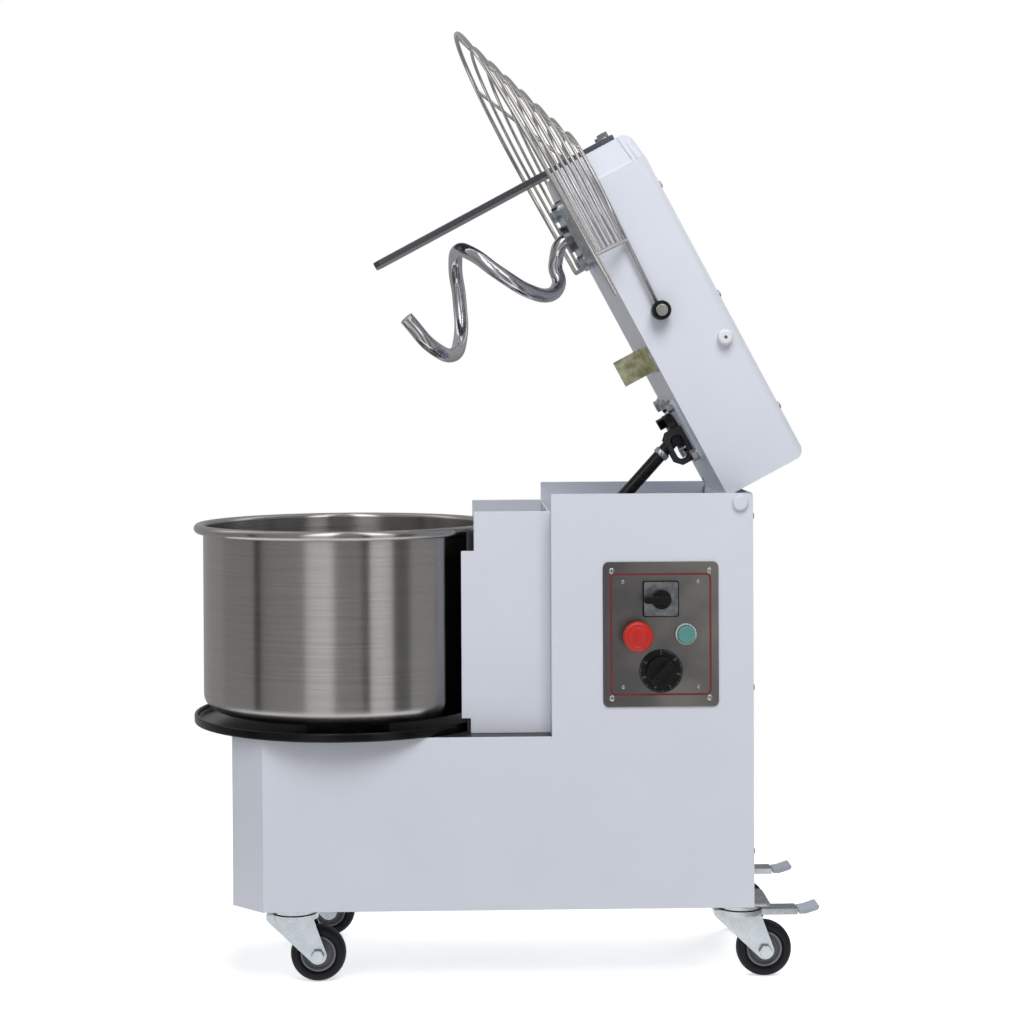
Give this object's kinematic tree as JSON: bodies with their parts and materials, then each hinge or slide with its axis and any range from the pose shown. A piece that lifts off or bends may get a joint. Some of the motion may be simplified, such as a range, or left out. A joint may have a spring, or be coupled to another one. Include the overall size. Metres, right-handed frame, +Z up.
{
  "type": "dough mixer",
  "caption": "Spiral dough mixer on castors: tilting head with hook, breaker bar and lifting wire guard over a turning steel bowl, with a control plate on the column.",
  "frame": {"origin": "floor point under the bowl's turning axis, in the plane of symmetry", "axes": "+Z up, +X from the bowl to the column, +Y away from the control plate"},
  "size_m": [0.8602, 0.44, 1.3021],
  "materials": {
    "white_paint": "satin powder coat",
    "bowl_steel": "polished",
    "bar_steel": "brushed",
    "machined_steel": "machined",
    "chrome": "bright zinc",
    "hook_steel": "cast and polished",
    "wire": "bright chromed wire",
    "black_plastic": "moulded",
    "black_rubber": "matte",
    "motor_grey": "painted casting",
    "zinc_yellow": "yellow passivated",
    "zinc": "zinc plated",
    "grey_plastic": "moulded",
    "plate_steel": "brushed",
    "red_plastic": "moulded",
    "green_plastic": "moulded"
  },
  "bodies": {
    "chassis": {"control_side_panel": "white_paint", "far_side_panel": "white_paint", "front_panel": "white_paint", "deck_plate": "black_plastic", "bottom_plate": "zinc", "rear_cover": "white_paint", "body_screws": "chrome", "column_front_wall": "white_paint", "column_tray": "white_paint", "cheeks": "white_paint", "bowl_shield": "black_plastic", "bowl_tray": "black_plastic", "bowl_bearing": "machined_steel", "bowl_belt": "black_rubber", "gearmotor": "motor_grey", "hinge_shaft": "machined_steel", "hinge_caps": "white_paint", "panel_plate": "plate_steel", "cam_switch_base": "black_plastic", "estop_base": "black_plastic", "start_base": "grey_plastic", "timer_base": "black_plastic", "cable_gland": "black_plastic", "caster_plates": "zinc"},
    "bowl_unit": {"bowl": "bowl_steel", "bowl_spindle": "machined_steel"},
    "drive": {"drive_shaft": "machined_steel"},
    "head": {"head_shell": "white_paint", "head_cover": "white_paint", "head_cover_screws": "chrome", "hinge_bracket": "white_paint", "breaker_bar": "bar_steel", "spindle_flange": "machined_steel", "coupling_plate": "black_plastic", "head_bolts": "chrome", "guard_pivot_bolts": "chrome", "guard_stops": "white_paint", "interlock_bracket": "zinc_yellow", "head_belt": "black_rubber"},
    "input": {"input_shaft": "machined_steel"},
    "spiral": {"spiral_hook": "hook_steel", "spiral_spindle": "machined_steel"},
    "guard": {"wire_guard": "wire", "guard_bushes": "black_plastic"},
    "strut_lower": {"strut_rod": "machined_steel"},
    "strut_upper": {"strut_cylinder": "black_plastic"},
    "cam_knob": {"cam_switch_knob": "black_plastic"},
    "estop": {"estop_button": "red_plastic"},
    "start": {"start_button": "green_plastic"},
    "timer": {"timer_knob": "black_plastic"},
    "swivel_front_near": {"fork_front_near": "zinc"},
    "roller_front_near": {"wheel_front_near": "black_rubber"},
    "swivel_front_far": {"fork_front_far": "zinc"},
    "roller_front_far": {"wheel_front_far": "black_rubber"},
    "swivel_rear_near": {"fork_rear_near": "zinc"},
    "roller_rear_near": {"wheel_rear_near": "black_rubber"},
    "brake_rear_near": {"pedal_rear_near": "grey_plastic"},
    "swivel_rear_far": {"fork_rear_far": "zinc"},
    "roller_rear_far": {"wheel_rear_far": "black_rubber"},
    "brake_rear_far": {"pedal_rear_far": "grey_plastic"}
  },
  "joints": [
    {"name": "head_tilt", "type": "hinge", "parent": "chassis", "child": "head", "pos_m": [0.5341, 0, 0.6482], "axis": [0, 1, 0], "range_deg": [-61.9, 0]},
    {"name": "guard_lift", "type": "hinge", "parent": "head", "child": "guard", "pos_m": [0.43368, 0, 0.90633], "axis": [0, 1, 0], "range_deg": [0, 125]},
    {"name": "bowl_spin", "type": "hinge", "parent": "chassis", "child": "bowl_unit", "pos_m": [0, 0, 0.356], "axis": [0, 0, 1], "continuous": true},
    {"name": "drive_spin", "type": "hinge", "parent": "chassis", "child": "drive", "pos_m": [0.4201, 0, 0.4], "axis": [0, 0, 1], "continuous": true},
    {"name": "input_spin", "type": "hinge", "parent": "head", "child": "input", "pos_m": [0.48041, 0, 0.74876], "axis": [0.8821, 0, 0.471], "continuous": true},
    {"name": "spiral_spin", "type": "hinge", "parent": "head", "child": "spiral", "pos_m": [0.33439, 0, 1.02222], "axis": [0.8821, 0, 0.471], "continuous": true},
    {"name": "strut_swing", "type": "hinge", "parent": "chassis", "child": "strut_lower", "pos_m": [0.298, -0.046, 0.55], "axis": [0, 1, 0], "range_deg": [0, 19.72]},
    {"name": "strut_slide", "type": "slide", "parent": "strut_lower", "child": "strut_upper", "axis": [0.6708, 0, 0.7416], "range_m": [-0.0934, 0]},
    {"name": "cam_turn", "type": "hinge", "parent": "chassis", "child": "cam_knob", "pos_m": [0.4275, -0.19, 0.521], "axis": [0, 1, 0], "range_deg": [0, 90]},
    {"name": "estop_push", "type": "slide", "parent": "chassis", "child": "estop", "axis": [0, 1, 0], "range_m": [0, 0.006]},
    {"name": "start_push", "type": "slide", "parent": "chassis", "child": "start", "axis": [0, 1, 0], "range_m": [0, 0.003], "stiffness_N_per_m": 600},
    {"name": "timer_turn", "type": "hinge", "parent": "chassis", "child": "timer", "pos_m": [0.4275, -0.19, 0.4245], "axis": [0, 1, 0], "range_deg": [0, 300]},
    {"name": "swivel_front_near", "type": "hinge", "parent": "chassis", "child": "swivel_front_near", "pos_m": [-0.066, -0.117, 0.09], "axis": [0, 0, 1], "continuous": true},
    {"name": "roll_front_near", "type": "hinge", "parent": "swivel_front_near", "child": "roller_front_near", "pos_m": [-0.034, -0.117, 0.0375], "axis": [0, 1, 0], "continuous": true},
    {"name": "swivel_front_far", "type": "hinge", "parent": "chassis", "child": "swivel_front_far", "pos_m": [-0.066, 0.117, 0.09], "axis": [0, 0, 1], "continuous": true},
    {"name": "roll_front_far", "type": "hinge", "parent": "swivel_front_far", "child": "roller_front_far", "pos_m": [-0.034, 0.117, 0.0375], "axis": [0, 1, 0], "continuous": true},
    {"name": "swivel_rear_near", "type": "hinge", "parent": "chassis", "child": "swivel_rear_near", "pos_m": [0.54, -0.117, 0.09], "axis": [0, 0, 1], "continuous": true},
    {"name": "roll_rear_near", "type": "hinge", "parent": "swivel_rear_near", "child": "roller_rear_near", "pos_m": [0.572, -0.117, 0.0375], "axis": [0, 1, 0], "continuous": true},
    {"name": "brake_rear_near", "type": "hinge", "parent": "swivel_rear_near", "child": "brake_rear_near", "pos_m": [0.62, -0.117, 0.089], "axis": [0, 1, 0], "range_deg": [0, 14], "stiffness_Nm_per_rad": 0.6},
    {"name": "swivel_rear_far", "type": "hinge", "parent": "chassis", "child": "swivel_rear_far", "pos_m": [0.54, 0.117, 0.09], "axis": [0, 0, 1], "continuous": true},
    {"name": "roll_rear_far", "type": "hinge", "parent": "swivel_rear_far", "child": "roller_rear_far", "pos_m": [0.572, 0.117, 0.0375], "axis": [0, 1, 0], "continuous": true},
    {"name": "brake_rear_far", "type": "hinge", "parent": "swivel_rear_far", "child": "brake_rear_far", "pos_m": [0.62, 0.117, 0.089], "axis": [0, 1, 0], "range_deg": [0, 14], "stiffness_Nm_per_rad": 0.6}
  ],
  "couplings": [
    {"joint": "drive_spin", "follows": "bowl_spin", "ratio": 5},
    {"joint": "input_spin", "follows": "bowl_spin", "ratio": 5},
    {"joint": "spiral_spin", "follows": "bowl_spin", "ratio": 8},
    {"joint": "strut_swing", "follows": "head_tilt", "ratio": -0.31533},
    {"joint": "strut_slide", "follows": "head_tilt", "m_per_rad": 0.085972}
  ]
}
